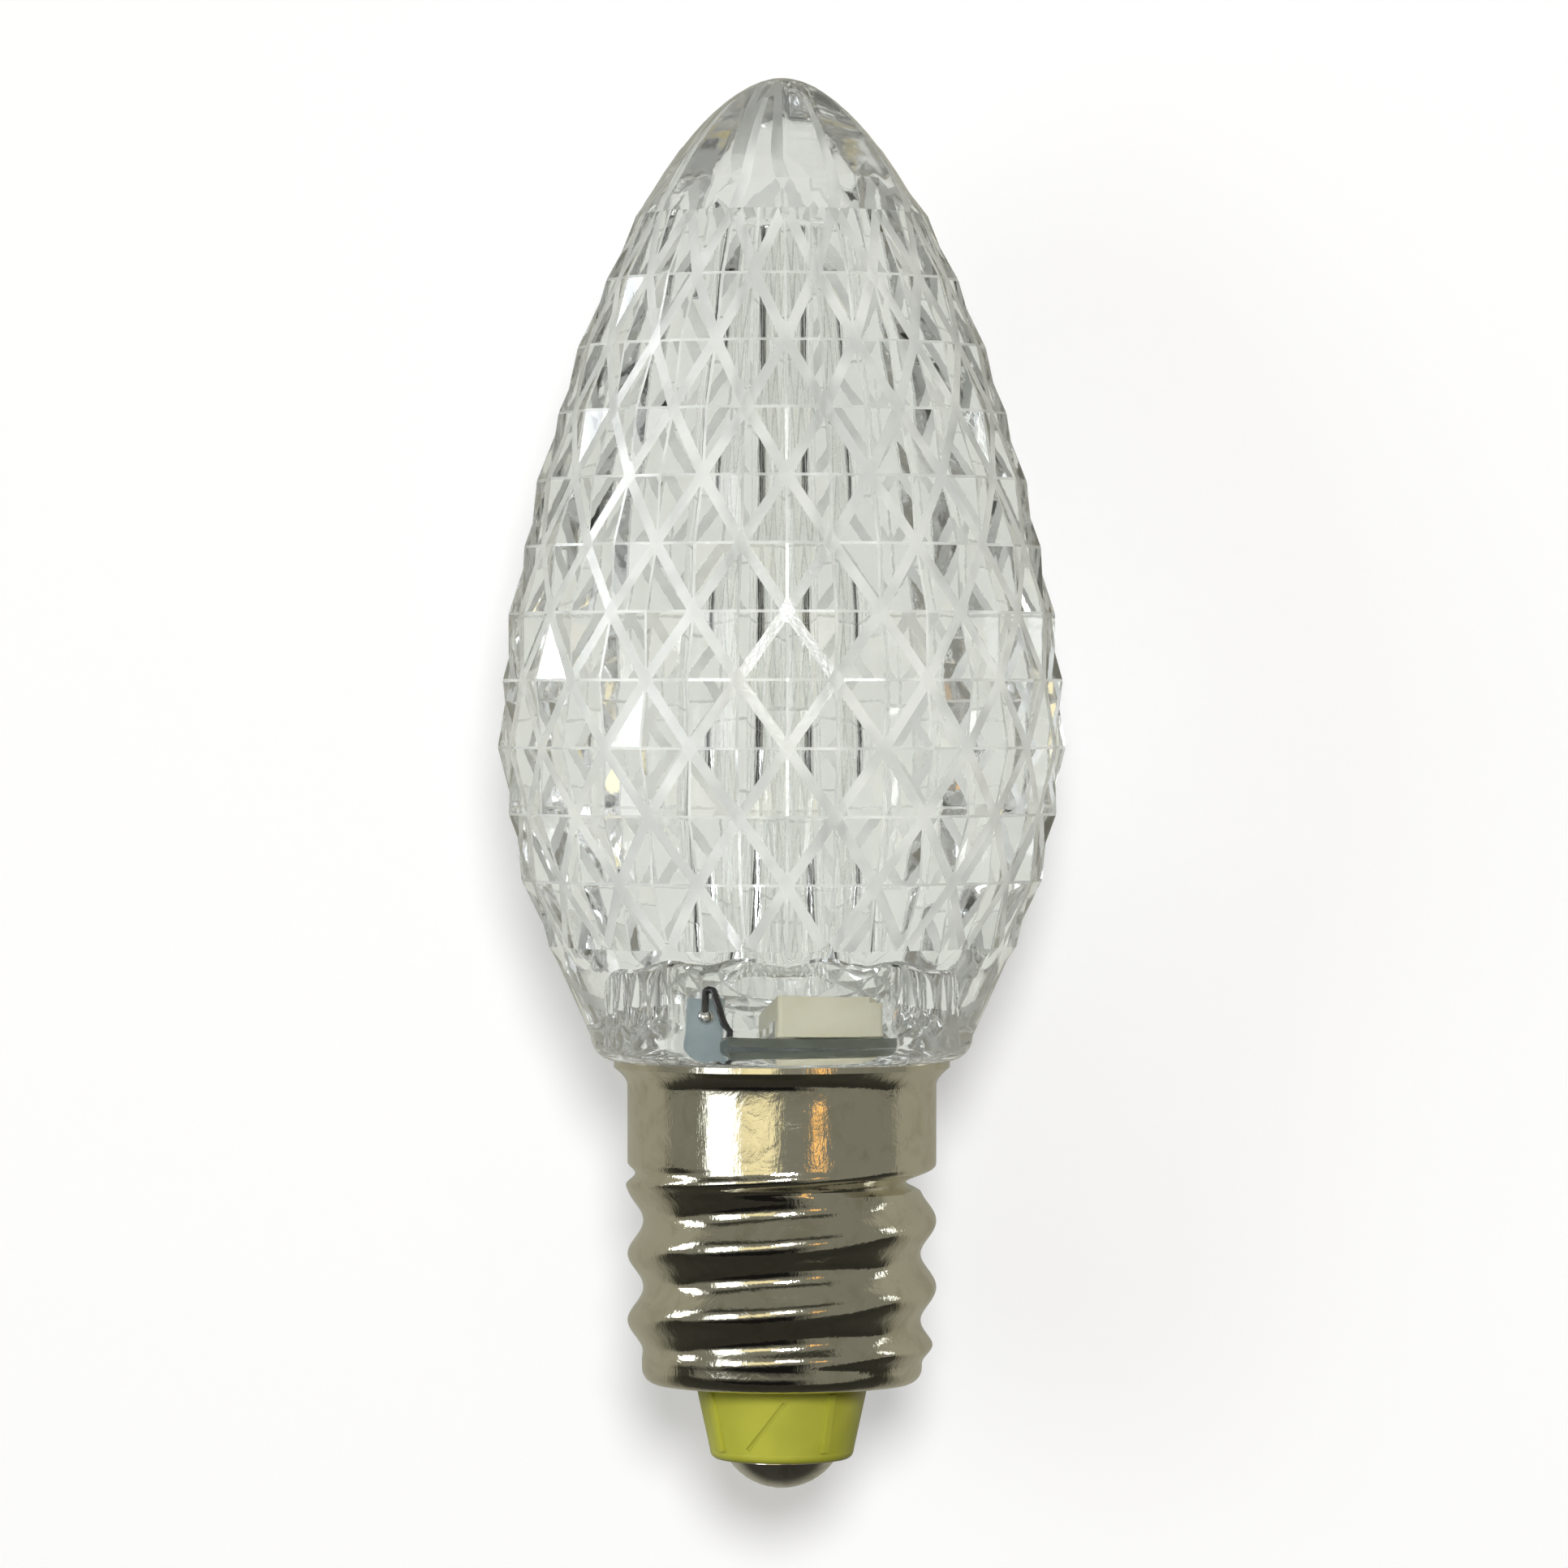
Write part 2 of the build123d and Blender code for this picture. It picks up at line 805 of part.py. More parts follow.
def wire_solder():
    live_x, live_z = live_spot
    shell_x, shell_z = shell_spot
    front = Pos(live_x, -board_half, live_z) * Sphere(spot_radius)
    front -= block((-5, -board_half, 0), (5, 3, 25))
    front -= wire(live_path(), Circle(core_radius))
    back = Pos(shell_x, board_half, shell_z) * Sphere(spot_radius)
    back -= block((-5, -3, 0), (5, board_half, 25))
    back -= wire(shell_path(), Circle(core_radius))
    return [front, back]


def pieces():
    """Every node's name with its solid or its group of like solids."""
    inside = shell_core(shell_wall)
    return {
        "lens_cover": lens_cover(),
        "led_housing": led_housing(),
        "led_phosphor": led_phosphor(),
        "led_dies": led_dies(),
        "led_terminals": led_terminals(),
        "led_solder": led_solder(),
        "led_board": led_board(),
        "jumper_wire": jumper_wire(),
        "jumper_solder": jumper_solder(),
        "tongue_solder": tongue_solder(),
        "board_holder": board_holder(),
        "driver_board": driver_board(),
        "bridge_rectifier": bridge_rectifier(),
        "rectifier_leads": rectifier_leads(),
        "driver_chip": driver_chip(),
        "chip_leads": chip_leads(),
        "sense_resistors": sense_resistors(),
        "resistor_ends": resistor_ends(),
        "filter_capacitor": filter_capacitor(),
        "capacitor_ends": capacitor_ends(),
        "live_wire_core": wire(live_path(), Circle(core_radius)),
        "live_wire_sleeve": sleeve(live_path(), live_sleeve_span),
        "shell_wire_core": wire(shell_path(), Circle(core_radius)),
        "shell_wire_sleeve": sleeve(shell_path(), shell_sleeve_span),
        "contact_solder": contact_solder(),
        "shell_solder": shell_solder(inside),
        "wire_solder": wire_solder(),
        "screw_shell": screw_shell(inside),
        "insulator": insulator(),
        "centre_contact": centre_contact(),
    }


def write_piece(name, shape):
    """One file for each node; a group of like solids goes out as one compound."""
    if isinstance(shape, list):
        shape = Compound(children=[solid for item in shape for solid in item.solids()])
    shape.label = name
    export_step(shape, f"parts/{name}.step")


if __name__ == "__main__":
    os.makedirs("parts", exist_ok=True)
    for name, shape in pieces().items():
        write_piece(name, shape)
        print(name)
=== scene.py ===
import bmesh
import bpy
import math
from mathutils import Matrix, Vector


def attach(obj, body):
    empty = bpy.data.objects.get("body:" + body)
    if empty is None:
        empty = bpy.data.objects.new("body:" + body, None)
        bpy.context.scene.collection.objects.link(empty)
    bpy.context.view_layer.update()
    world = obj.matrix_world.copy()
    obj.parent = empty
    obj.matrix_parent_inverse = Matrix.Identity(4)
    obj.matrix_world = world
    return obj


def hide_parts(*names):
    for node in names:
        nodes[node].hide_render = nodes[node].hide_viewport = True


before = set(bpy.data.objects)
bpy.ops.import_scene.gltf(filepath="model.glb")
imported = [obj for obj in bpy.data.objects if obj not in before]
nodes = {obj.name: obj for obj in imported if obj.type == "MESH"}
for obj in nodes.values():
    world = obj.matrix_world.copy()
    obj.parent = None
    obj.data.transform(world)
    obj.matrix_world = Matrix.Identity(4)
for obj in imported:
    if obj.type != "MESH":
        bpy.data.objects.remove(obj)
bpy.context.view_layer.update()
mm = 0.001
print("frame loaded,", len(nodes), "pieces")

# camera at the photo's angle: level with the belly, far off; metres, and the sensor in millimetres
cameraSetup = {
    "distance": 0.300,
    "eyeHeight": 0.0299,
    "aimHeight": 0.0269,
    "aimSide": 0.00008,
    "frameWidth": 0.0599,
    "sensor": 36.0,
    "clip": (0.01, 5),
}


def makeCamera():
    c = cameraSetup
    data = bpy.data.cameras.new("camera")
    data.sensor_width = c["sensor"]
    data.lens = c["sensor"] * c["distance"] / c["frameWidth"]
    data.clip_start, data.clip_end = c["clip"]
    cam = bpy.data.objects.new("camera", data)
    bpy.context.scene.collection.objects.link(cam)
    cam.location = (c["aimSide"], -c["distance"], c["eyeHeight"])
    aim = Vector((c["aimSide"], 0, c["aimHeight"])) - cam.location
    cam.rotation_mode = "QUATERNION"
    cam.rotation_quaternion = aim.to_track_quat("-Z", "Y")
    bpy.context.scene.camera = cam


makeCamera()
print("camera set")


# small helpers for node trees
def addNode(tree, kind, settings=(), values=()):
    made = tree.nodes.new(kind)
    for key, value in dict(settings).items():
        setattr(made, key, value)
    for key, value in dict(values).items():
        made.inputs[key].default_value = value
    return made


def maths(tree, operation, one, two=None):
    made = addNode(tree, "ShaderNodeMath", {"operation": operation})
    for index, value in enumerate((one, two)):
        if value is None:
            continue
        if isinstance(value, (int, float)):
            made.inputs[index].default_value = value
        else:
            tree.links.new(value, made.inputs[index])
    return made.outputs[0]


def remap(tree, value, low, high, toLow=0.0, toHigh=1.0):
    made = addNode(tree, "ShaderNodeMapRange", {"interpolation_type": "SMOOTHSTEP"})
    tree.links.new(value, made.inputs["Value"])
    for key, number in zip(("From Min", "From Max", "To Min", "To Max"), (low, high, toLow, toHigh)):
        made.inputs[key].default_value = number
    return made.outputs["Result"]


def mixColour(tree, share, one, two):
    made = addNode(tree, "ShaderNodeMix", {"data_type": "RGBA"})
    tree.links.new(share, made.inputs[0])
    for key, value in ((6, one), (7, two)):  # the two colour sockets
        if hasattr(value, "links"):
            tree.links.new(value, made.inputs[key])
        else:
            made.inputs[key].default_value = (*value[:3], 1)
    return made.outputs[2]


def newGroup(name, inputs, outputs):
    group = bpy.data.node_groups.new(name, "ShaderNodeTree")
    for label, kind, default in inputs:
        socket = group.interface.new_socket(label, in_out="INPUT", socket_type="NodeSocket" + kind)
        socket.default_value = default
    for label, kind in outputs:
        group.interface.new_socket(label, in_out="OUTPUT", socket_type="NodeSocket" + kind)
    return group, group.nodes.new("NodeGroupInput"), group.nodes.new("NodeGroupOutput")


# slow waves and fine grain that a mould leaves in plastic; high waves are the dark patches
patchEdge = (0.35, 0.65)


def makeMouldMarks():
    inputs = (("Wave Scale", "Float", 400.0), ("Grain Scale", "Float", 4000.0), ("Grain", "Float", 0.2))
    group, start, end = newGroup("mouldMarks", inputs, (("Height", "Float"), ("Mask", "Float")))
    place = addNode(group, "ShaderNodeTexCoord")
    wave = addNode(group, "ShaderNodeTexNoise", (), {"Detail": 2.0, "Roughness": 0.45})
    grain = addNode(group, "ShaderNodeTexNoise", (), {"Detail": 3.0, "Roughness": 0.6})
    for noise, label in ((wave, "Wave Scale"), (grain, "Grain Scale")):
        group.links.new(place.outputs["Object"], noise.inputs["Vector"])
        group.links.new(start.outputs[label], noise.inputs["Scale"])
    fine = maths(group, "MULTIPLY", grain.outputs[0], start.outputs["Grain"])
    group.links.new(maths(group, "ADD", wave.outputs[0], fine), end.inputs["Height"])
    group.links.new(remap(group, wave.outputs[0], *patchEdge), end.inputs["Mask"])
    return group


# smudges and hairlines that handling leaves on plated metal
handlingMarks = {
    "stainEdge": (0.42, 0.72),
    "lineStretch": (1.0, 1.0, 0.18),  # hairlines run up the part
    "lineScale": 6.0,  # times that of the smudges
    "lineShare": 0.25,  # of the relief
}


def makeHandling():
    inputs = (
        ("Clean", "Color", (0.7, 0.68, 0.6, 1)),
        ("Stained", "Color", (0.5, 0.47, 0.36, 1)),
        ("Smooth", "Float", 0.1),
        ("Dull", "Float", 0.25),
        ("Scale", "Float", 500.0),
    )
    outputs = (("Colour", "Color"), ("Roughness", "Float"), ("Height", "Float"))
    group, start, end = newGroup("handling", inputs, outputs)
    place = addNode(group, "ShaderNodeTexCoord")
    smudge = addNode(
        group, "ShaderNodeTexNoise", (), {"Detail": 5.0, "Roughness": 0.6, "Distortion": 0.6}
    )
    stretch = addNode(group, "ShaderNodeMapping", (), {"Scale": handlingMarks["lineStretch"]})
    hairline = addNode(group, "ShaderNodeTexNoise", (), {"Detail": 3.0, "Roughness": 0.7})
    group.links.new(place.outputs["Object"], smudge.inputs["Vector"])
    group.links.new(start.outputs["Scale"], smudge.inputs["Scale"])
    group.links.new(place.outputs["Object"], stretch.inputs["Vector"])
    group.links.new(stretch.outputs[0], hairline.inputs["Vector"])
    lineScale = maths(group, "MULTIPLY", start.outputs["Scale"], handlingMarks["lineScale"])
    group.links.new(lineScale, hairline.inputs["Scale"])
    dirt = remap(group, smudge.outputs[0], *handlingMarks["stainEdge"])
    colour = mixColour(group, dirt, start.outputs["Clean"], start.outputs["Stained"])
    group.links.new(colour, end.inputs["Colour"])
    spread = maths(group, "SUBTRACT", start.outputs["Dull"], start.outputs["Smooth"])
    rough = maths(group, "ADD", start.outputs["Smooth"], maths(group, "MULTIPLY", dirt, spread))
    group.links.new(rough, end.inputs["Roughness"])
    lines = maths(group, "MULTIPLY", hairline.outputs[0], handlingMarks["lineShare"])
    group.links.new(maths(group, "ADD", smudge.outputs[0], lines), end.inputs["Height"])
    return group


mouldMarks = makeMouldMarks()
handling = makeHandling()

skinRelief = 0.00002  # metres that the marks stand proud
lensRelief = 0.00006


def startMaterial(name, plain):
    material = bpy.data.materials.new(name)
    material.use_nodes = True
    tree = material.node_tree
    shader = tree.nodes["Principled BSDF"]
    for key, value in plain.items():
        shader.inputs[key].default_value = value
    return material, tree, shader


def addMouldMarks(tree, waves, grain, share):
    values = {"Wave Scale": waves, "Grain Scale": grain, "Grain": share}
    return addNode(tree, "ShaderNodeGroup", {"node_tree": mouldMarks}, values)


def bumpFrom(tree, shader, height, strength, distance=skinRelief):
    bump = addNode(tree, "ShaderNodeBump", (), {"Strength": strength, "Distance": distance})
    tree.links.new(height, bump.inputs["Height"])
    tree.links.new(bump.outputs[0], shader.inputs["Normal"])


# moulded plastic, ceramic, lacquer: one look with its own colours and grain
plasticGrain = 0.35  # share of fine grain in the relief
plasticWear = (0.85, 1.2)  # roughness of clean and of worn patches, as shares


def plasticMaterial(name, light, dark, rough, waves=500.0, grain=5000.0, bump=0.25, plain=()):
    material, tree, shader = startMaterial(name, dict(plain))
    marks = addMouldMarks(tree, waves, grain, plasticGrain)
    tree.links.new(mixColour(tree, marks.outputs["Mask"], light, dark), shader.inputs["Base Color"])
    fresh, worn = (rough * share for share in plasticWear)
    wear = remap(tree, marks.outputs["Mask"], 0.0, 1.0, fresh, worn)
    tree.links.new(wear, shader.inputs["Roughness"])
    bumpFrom(tree, shader, marks.outputs["Height"], bump)
    return material


def metalMaterial(name, clean, stained, smooth, dull, scale, bump):
    material, tree, shader = startMaterial(name, {"Metallic": 1.0})
    values = {"Clean": (*clean, 1), "Stained": (*stained, 1)}
    values |= {"Smooth": smooth, "Dull": dull, "Scale": scale}
    marks = addNode(tree, "ShaderNodeGroup", {"node_tree": handling}, values)
    tree.links.new(marks.outputs["Colour"], shader.inputs["Base Color"])
    tree.links.new(marks.outputs["Roughness"], shader.inputs["Roughness"])
    bumpFrom(tree, shader, marks.outputs["Height"], bump)
    return material


# circuit board that lies flat: pale lacquer above and below, bare dark laminate on its cut edges
boardLook = {
    "lacquer": (0.8, 0.82, 0.8),
    "laminate": (0.15, 0.17, 0.14),
    "shade": 0.8,  # of the darker patches
    "level": (0.4, 0.6),  # upward part of the normal where an edge turns into a face
    "roughness": 0.35,
    "waves": 900.0,
    "grain": 7000.0,
    "grainShare": 0.4,
    "bump": 0.15,
}


def boardMaterial(name):
    look = boardLook
    material, tree, shader = startMaterial(name, {"Roughness": look["roughness"]})
    marks = addMouldMarks(tree, look["waves"], look["grain"], look["grainShare"])
    facing = addNode(tree, "ShaderNodeNewGeometry")
    split = addNode(tree, "ShaderNodeSeparateXYZ")
    tree.links.new(facing.outputs["Normal"], split.inputs[0])
    flat = remap(tree, maths(tree, "ABSOLUTE", split.outputs["Z"]), *look["level"])
    above, beside = (
        mixColour(tree, marks.outputs["Mask"], tone, tuple(c * look["shade"] for c in tone))
        for tone in (look["lacquer"], look["laminate"])
    )
    tree.links.new(mixColour(tree, flat, beside, above), shader.inputs["Base Color"])
    bumpFrom(tree, shader, marks.outputs["Height"], look["bump"])
    return material


# clear lens: water-clear moulding with slight waves in its skin
lensLook = {
    "tint": (0.955, 0.965, 0.955, 1),
    "clear": 1.0,
    "ior": 1.49,
    "roughness": 0.015,
    "tipClear": 0.9,
    "tipIor": 1.33,  # the paper shows through the tip, where 1.49 turns the light down the bulb
    "tipRoughness": 0.035,
    "waves": 900.0,
    "grain": 4500.0,
    "grainShare": 0.12,
    "bump": 0.12,
}


def lensMaterial(name, clear, ior, roughness):
    plain = {
        "Base Color": lensLook["tint"],
        "Transmission Weight": clear,
        "IOR": ior,
        "Metallic": 0.0,
        "Roughness": roughness,
    }
    material, tree, shader = startMaterial(name, plain)
    marks = addMouldMarks(tree, lensLook["waves"], lensLook["grain"], lensLook["grainShare"])
    bumpFrom(tree, shader, marks.outputs["Height"], lensLook["bump"], lensRelief)
    return material


# edges between the facets: the mould leaves them a little matt, and their pale colour is partly a
# painted highlight that stands in for glints on the ridges, lands and pane borders
edgeFrostAndHighlightLook = {
    # the pale tone is partly a painted highlight on the edge strips
    "light": (0.97, 0.98, 0.97),
    "dark": (0.72, 0.74, 0.73),
    "clear": 0.64,
    "roughness": 0.2,
    "patches": 420.0,
    "grain": 5040.0,
    "grainShare": 0.5,
    "bump": 0.4,
}


def edgeFrostAndHighlightMaterial():
    plain = {
        "Transmission Weight": edgeFrostAndHighlightLook["clear"],
        "IOR": lensLook["ior"],
        "Metallic": 0.0,
        "Roughness": edgeFrostAndHighlightLook["roughness"],
    }
    material, tree, shader = startMaterial("frostedEdgeAndHighlight", plain)
    marks = addMouldMarks(tree, edgeFrostAndHighlightLook["patches"], edgeFrostAndHighlightLook["grain"], edgeFrostAndHighlightLook["grainShare"])
    colour = mixColour(tree, marks.outputs["Mask"], edgeFrostAndHighlightLook["light"], edgeFrostAndHighlightLook["dark"])
    tree.links.new(colour, shader.inputs["Base Color"])
    bumpFrom(tree, shader, marks.outputs["Height"], edgeFrostAndHighlightLook["bump"], lensRelief)
    return material


clearPlastic = lensMaterial("clearPlastic", *(lensLook[key] for key in ("clear", "ior", "roughness")))
softPlastic = lensMaterial(
    "softPlastic", *(lensLook[key] for key in ("tipClear", "tipIor", "tipRoughness"))
)
frostedEdgeAndHighlight = edgeFrostAndHighlightMaterial()
ledMask = boardMaterial("ledMask")

# metals: colour where clean and where stained, roughness where smooth and where dull,
# then size and depth of the marks
metals = {
    "nickelPlate": ((0.71, 0.68, 0.57), (0.6, 0.57, 0.45), 0.06, 0.14, 900.0, 1.5),
    "nickelContact": ((0.86, 0.84, 0.78), (0.6, 0.57, 0.48), 0.12, 0.26, 700.0, 0.12),
    "silverLead": ((0.86, 0.86, 0.84), (0.6, 0.58, 0.52), 0.16, 0.35, 900.0, 0.15),
    "brightSolder": ((0.8, 0.8, 0.79), (0.55, 0.54, 0.5), 0.2, 0.4, 1200.0, 0.35),
    "tinnedCopper": ((0.8, 0.76, 0.7), (0.6, 0.5, 0.4), 0.2, 0.4, 1200.0, 0.2),
}

# plastics and ceramics: light and dark tone, roughness, then size of waves, size of grain and depth
plastics = {
    "creamHousing": ((0.93, 0.89, 0.71), (0.89, 0.84, 0.64), 0.4, 900.0, 6000.0, 0.2),
    "yellowGel": ((0.93, 0.74, 0.2), (0.88, 0.66, 0.14), 0.35, 1500.0, 9000.0, 0.3),
    "dieFace": ((0.3, 0.42, 0.62), (0.22, 0.3, 0.5), 0.15, 2500.0, 9000.0, 0.1),
    "driverMask": ((0.47, 0.56, 0.6), (0.38, 0.47, 0.51), 0.28, 800.0, 6000.0, 0.15),
    "holderPlastic": ((0.8, 0.82, 0.82), (0.72, 0.74, 0.74), 0.4),
    "blackEnamel": ((0.015, 0.015, 0.02), (0.03, 0.025, 0.025), 0.22, 1500.0, 6000.0, 0.1),
    "blackPackage": ((0.03, 0.03, 0.033), (0.045, 0.045, 0.05), 0.5, 900.0, 9000.0, 0.5),
    "darkGlaze": ((0.04, 0.04, 0.05), (0.06, 0.06, 0.07), 0.25, 900.0, 9000.0, 0.2),
    "tanCeramic": ((0.55, 0.4, 0.24), (0.48, 0.34, 0.2), 0.35, 900.0, 9000.0, 0.3),
    "redSleeve": ((0.5, 0.03, 0.025), (0.42, 0.025, 0.02), 0.35),
    "whiteSleeve": ((0.78, 0.78, 0.75), (0.7, 0.7, 0.66), 0.35),
}
plugGlow = {
    "Subsurface Weight": 0.25,
    "Subsurface Radius": (0.6, 0.6, 0.15),
    "Subsurface Scale": 0.0008,
}
plastics["greenPlug"] = ((0.46, 0.46, 0.06), (0.38, 0.39, 0.04), 0.36, 350.0, 4500.0, 0.3, plugGlow)

looks = {name: metalMaterial(name, *look) for name, look in metals.items()}
looks |= {name: plasticMaterial(name, *look) for name, look in plastics.items()}
looks |= {"clearPlastic": clearPlastic, "ledMask": ledMask}

nodeLooks = {
    "lens_cover": "clearPlastic",
    "screw_shell": "nickelPlate",
    "centre_contact": "nickelContact",
    "insulator": "greenPlug",
    "led_housing": "creamHousing",
    "led_phosphor": "yellowGel",
    "led_dies": "dieFace",
    "led_terminals": "silverLead",
    "led_solder": "brightSolder",
    "led_board": "ledMask",
    "jumper_wire": "blackEnamel",
    "jumper_solder": "brightSolder",
    "tongue_solder": "brightSolder",
    "board_holder": "holderPlastic",
    "driver_board": "driverMask",
    "bridge_rectifier": "blackPackage",
    "rectifier_leads": "silverLead",
    "driver_chip": "blackPackage",
    "chip_leads": "silverLead",
    "sense_resistors": "darkGlaze",
    "resistor_ends": "brightSolder",
    "filter_capacitor": "tanCeramic",
    "capacitor_ends": "brightSolder",
    "live_wire_core": "tinnedCopper",
    "live_wire_sleeve": "redSleeve",
    "shell_wire_core": "tinnedCopper",
    "shell_wire_sleeve": "whiteSleeve",
    "contact_solder": "brightSolder",
    "shell_solder": "brightSolder",
    "wire_solder": "brightSolder",
}
for name, look in nodeLooks.items():
    nodes[name].data.materials.clear()
    nodes[name].data.materials.append(looks[look])
print("materials made")


# one visible piece from what a builder has collected
def makeObject(name, build, material, node):
    mesh = bpy.data.meshes.new(name)
    mesh.from_pydata(build.verts, [], build.faces)
    mesh.validate()
    mesh.update()
    piece = bpy.data.objects.new(name, mesh)
    bpy.context.scene.collection.objects.link(piece)
    mesh.materials.append(material)
    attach(piece, "root")
    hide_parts(node)
    return piece


def circlePoints(radius, height, count, turn=0.0):
    step = 2 * math.pi / count
    angles = [turn + n * step for n in range(count)]
    return [Vector((radius * math.cos(angle), radius * math.sin(angle), height)) for angle in angles]


# faceted lens, in millimetres; the outline is the one of the solid it stands for
lens = {
    "tipHeight": 53.85,
    "bellyHeight": 29.6,
    "bellyRadius": 10.9,
    "shoulderTaper": 1.4,
    "tipFullness": 0.54,
    "lowerCurve": 22.0,
    "neckRadius": 7.3,
    "foot": 16.35,
    "shoulderRound": 0.95,
    "diamondsRound": 18,
    "ringPitch": 2.54,
    "firstRing": 20.69,
    "ringCount": 12,
    "facetDepth": 0.37,
    "facetPhase": -88.9,
    "landWidth": 0.42,
    "ridgeWidth": 0.11,
    "tipPanes": 9,
    "paneShare": 0.9,  # 1 is flat, 0 is round
    "paneFade": 0.6,  # height under the top where the panes turn round
    "tipRises": (0.5, 1.0, 1.7),
    "tipLine": 51.2,  # parting line of the mould's crown
    "tipLineHalf": 0.06,
    "tipStep": 0.03,
    "crownLine": 53.0,  # borders of the panes are matt, with a painted highlight, up to here
    "tipDrops": (2.1, 1.72, 1.29, 0.91, 0.59, 0.337, 0.151, 0.038),
    "settleRings": 2,  # rings that bring the points round to even directions
    "neckSteps": 6,
    "bendSteps": 6,
    "spigotRadius": 5.5,
    "spigotFoot": 13.2,
    "chamberRadius": 4.6,
    "chamberCeiling": 21.0,
    "chamberFillet": 0.35,
    "filletSteps": 3,
    "boreLow": 1.95,
    "boreHigh": 1.3,
    "boreTop": 47.6,
    "boreEdge": 0.25,
    "boreSteps": 24,
    "boreMark": 0.3,  # ring that the core's vent leaves on the flat end
    "markHalf": 0.08,
    "markDepth": 0.06,
    "boreDome": 0.02,
    "roundCount": 144,
    "sharpAngle": 18,
}


def lensRadius(height):
    if height > lens["bellyHeight"]:
        share = min(1.0, (height - lens["bellyHeight"]) / (lens["tipHeight"] - lens["bellyHeight"]))
        return lens["bellyRadius"] * (1 - share ** lens["shoulderTaper"]) ** lens["tipFullness"]
    drop = lens["bellyHeight"] - height
    return lens["bellyRadius"] - lens["lowerCurve"] + math.sqrt(lens["lowerCurve"] ** 2 - drop ** 2)


# one level of the lattice: tips and corners of the diamonds in turn
def latticeRing(level):
    height = lens["firstRing"] + level * lens["ringPitch"]
    radius = lensRadius(height)
    depth = lens["facetDepth"] * radius / lens["bellyRadius"]
    columns = 2 * lens["diamondsRound"]
    ring = []
    for column in range(columns):
        reach = radius if (column + level) % 2 == 0 else radius - depth
        angle = math.radians(lens["facetPhase"] + column * 360 / columns)
        ring.append(Vector((reach * math.cos(angle), reach * math.sin(angle), height)))
    return ring


# points and faces of one closed mesh; places are in millimetres
class Builder:
    def __init__(self):
        self.verts, self.faces, self.known = [], [], {}
        self.flats, self.edges, self.soft = 0, [], []  # count of flat faces, matt faces with a painted highlight, tip faces

    def point(self, place):
        key = tuple(round(x, 5) for x in place)
        if key not in self.known:
            self.known[key] = len(self.verts)
            self.verts.append(tuple(x * mm for x in place))
        return self.known[key]

    def face(self, places):
        ids = []
        for place in places:
            index = self.point(place)
            if index not in ids:
                ids.append(index)
        if len(ids) > 2:
            self.faces.append(ids)

    def edge(self, places):
        self.edges.append(len(self.faces))
        self.face(places)

    def strip(self, low, high):
        count = len(low)
        for n in range(count):
            after = (n + 1) % count
            self.face([low[n], low[after], high[after], high[n]])

    def fan(self, ring, top):
        for n in range(len(ring)):
            self.face([ring[n], ring[(n + 1) % len(ring)], top])


# a quarter of a diamond, set back from its ridges and from the land along its valley side
def quarterFacet(tip, side, other):
    across = (side - tip).length
    along = (other - tip).length
    reach = across * along / (other - side).length
    land = lens["landWidth"] / 2 / reach
    nearRing = lens["ridgeWidth"] / 2 / along
    nearColumn = lens["ridgeWidth"] / 2 / across
    spots = [(nearColumn, nearRing), (1 - nearRing - land, nearRing)]
    spots.append((nearColumn, 1 - nearColumn - land))
    return [tip + (side - tip) * s + (other - tip) * u for s, u in spots]


# two facets and the land between them; gives back the cell's corners as (point by the ring,
# point by the column), in the order low left, low right, high left, high right
def latticeCell(build, lowLeft, lowRight, highLeft, highRight, rising):
    if rising:
        one = quarterFacet(lowLeft, lowRight, highLeft)
        two = quarterFacet(highRight, highLeft, lowRight)
        corners = [(one[0], one[0]), (one[1], two[2]), (two[1], one[2]), (two[0], two[0])]
    else:
        one = quarterFacet(lowRight, lowLeft, highRight)
        two = quarterFacet(highLeft, highRight, lowLeft)
        corners = [(one[1], two[2]), (one[0], one[0]), (two[0], two[0]), (two[1], one[2])]
    build.face(one)
    build.face(two)
    build.edge([one[1], two[2], two[1], one[2]])
    return corners


# the whole lattice with its ridge strips and stars; gives back its lowest and highest rings of points
def makeLattice(build):
    columns = 2 * lens["diamondsRound"]
    levels = range(lens["ringCount"])
    rings = [latticeRing(level) for level in levels]
    cells = []
    for level, low, high in zip(levels, rings, rings[1:]):
        row = []
        for column in range(columns):
            after = (column + 1) % columns
            rising = (column + level) % 2 == 0
            row.append(latticeCell(build, low[column], low[after], high[column], high[after], rising))
        cells.append(row)
    for row in cells:
        for column in range(columns):
            left, right = row[column - 1], row[column]
            build.edge([left[1][1], left[3][1], right[2][1], right[0][1]])
    for below, above in zip(cells, cells[1:]):
        for column in range(columns):
            low, high = below[column], above[column]
            lowLeft, highLeft = below[column - 1], above[column - 1]
            build.edge([low[2][0], low[3][0], high[1][0], high[0][0]])
            star = [high[0][0], high[0][1], highLeft[1][1], highLeft[1][0]]
            star += [lowLeft[3][0], lowLeft[3][1], low[2][1], low[2][0]]
            build.edge(star)
    foot, crown = [], []
    for column in range(columns):
        left, right = cells[0][column - 1][1], cells[0][column][0]
        build.face([left[0], left[1], right[1], right[0]])
        foot += [left[0], right[0]]
        left, right = cells[-1][column - 1][3], cells[-1][column][2]
        build.face([left[0], left[1], right[1], right[0]])
        crown += [left[0], right[0]]
    build.flats = len(build.faces)
    return foot, crown


# evenly spaced directions for the rings above and below the lattice
def evenTurns(count):
    return [math.radians(lens["facetPhase"] + n * 360 / count) for n in range(count)]


# a direction on its way from where the lattice has it to an even one
def settled(turn, even, share):
    gap = (even - turn + math.pi) % (2 * math.pi) - math.pi
    return turn + gap * share


